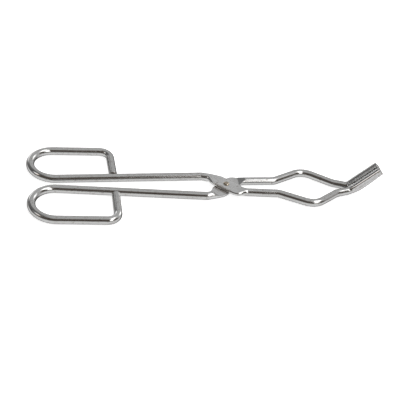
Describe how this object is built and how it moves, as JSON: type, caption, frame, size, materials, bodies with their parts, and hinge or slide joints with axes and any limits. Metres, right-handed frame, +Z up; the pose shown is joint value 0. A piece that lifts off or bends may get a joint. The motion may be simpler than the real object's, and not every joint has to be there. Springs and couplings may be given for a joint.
{
  "type": "crucible tongs",
  "caption": "Bow-jawed tongs of bent steel rod that cross in a riveted half lap, with D-shaped finger loops and bent-up serrated tips.",
  "frame": {"origin": "on the surface the tongs lie on, under the middle of their bounding box", "axes": "+X from the finger loops to the tips, +Z up, so the tips bend up; the upper arm's loop is at +Y"},
  "size_m": [0.2, 0.066, 0.0186],
  "materials": {
    "arm_steel": "bright plated steel rod with fine drawing streaks, satin on the pressed flats",
    "rivet_steel": "bright, peened, slightly warm at the rim"
  },
  "bodies": {
    "upper_arm": {"arm_upper": "arm_steel", "rivet": "rivet_steel"},
    "lower_arm": {"arm_lower": "arm_steel"}
  },
  "joints": [
    {"name": "pivot", "type": "hinge", "parent": "upper_arm", "child": "lower_arm", "pos_m": [0.0098, 0, 0.00225], "axis": [0, 0, 1], "range_deg": [0, 55]}
  ]
}
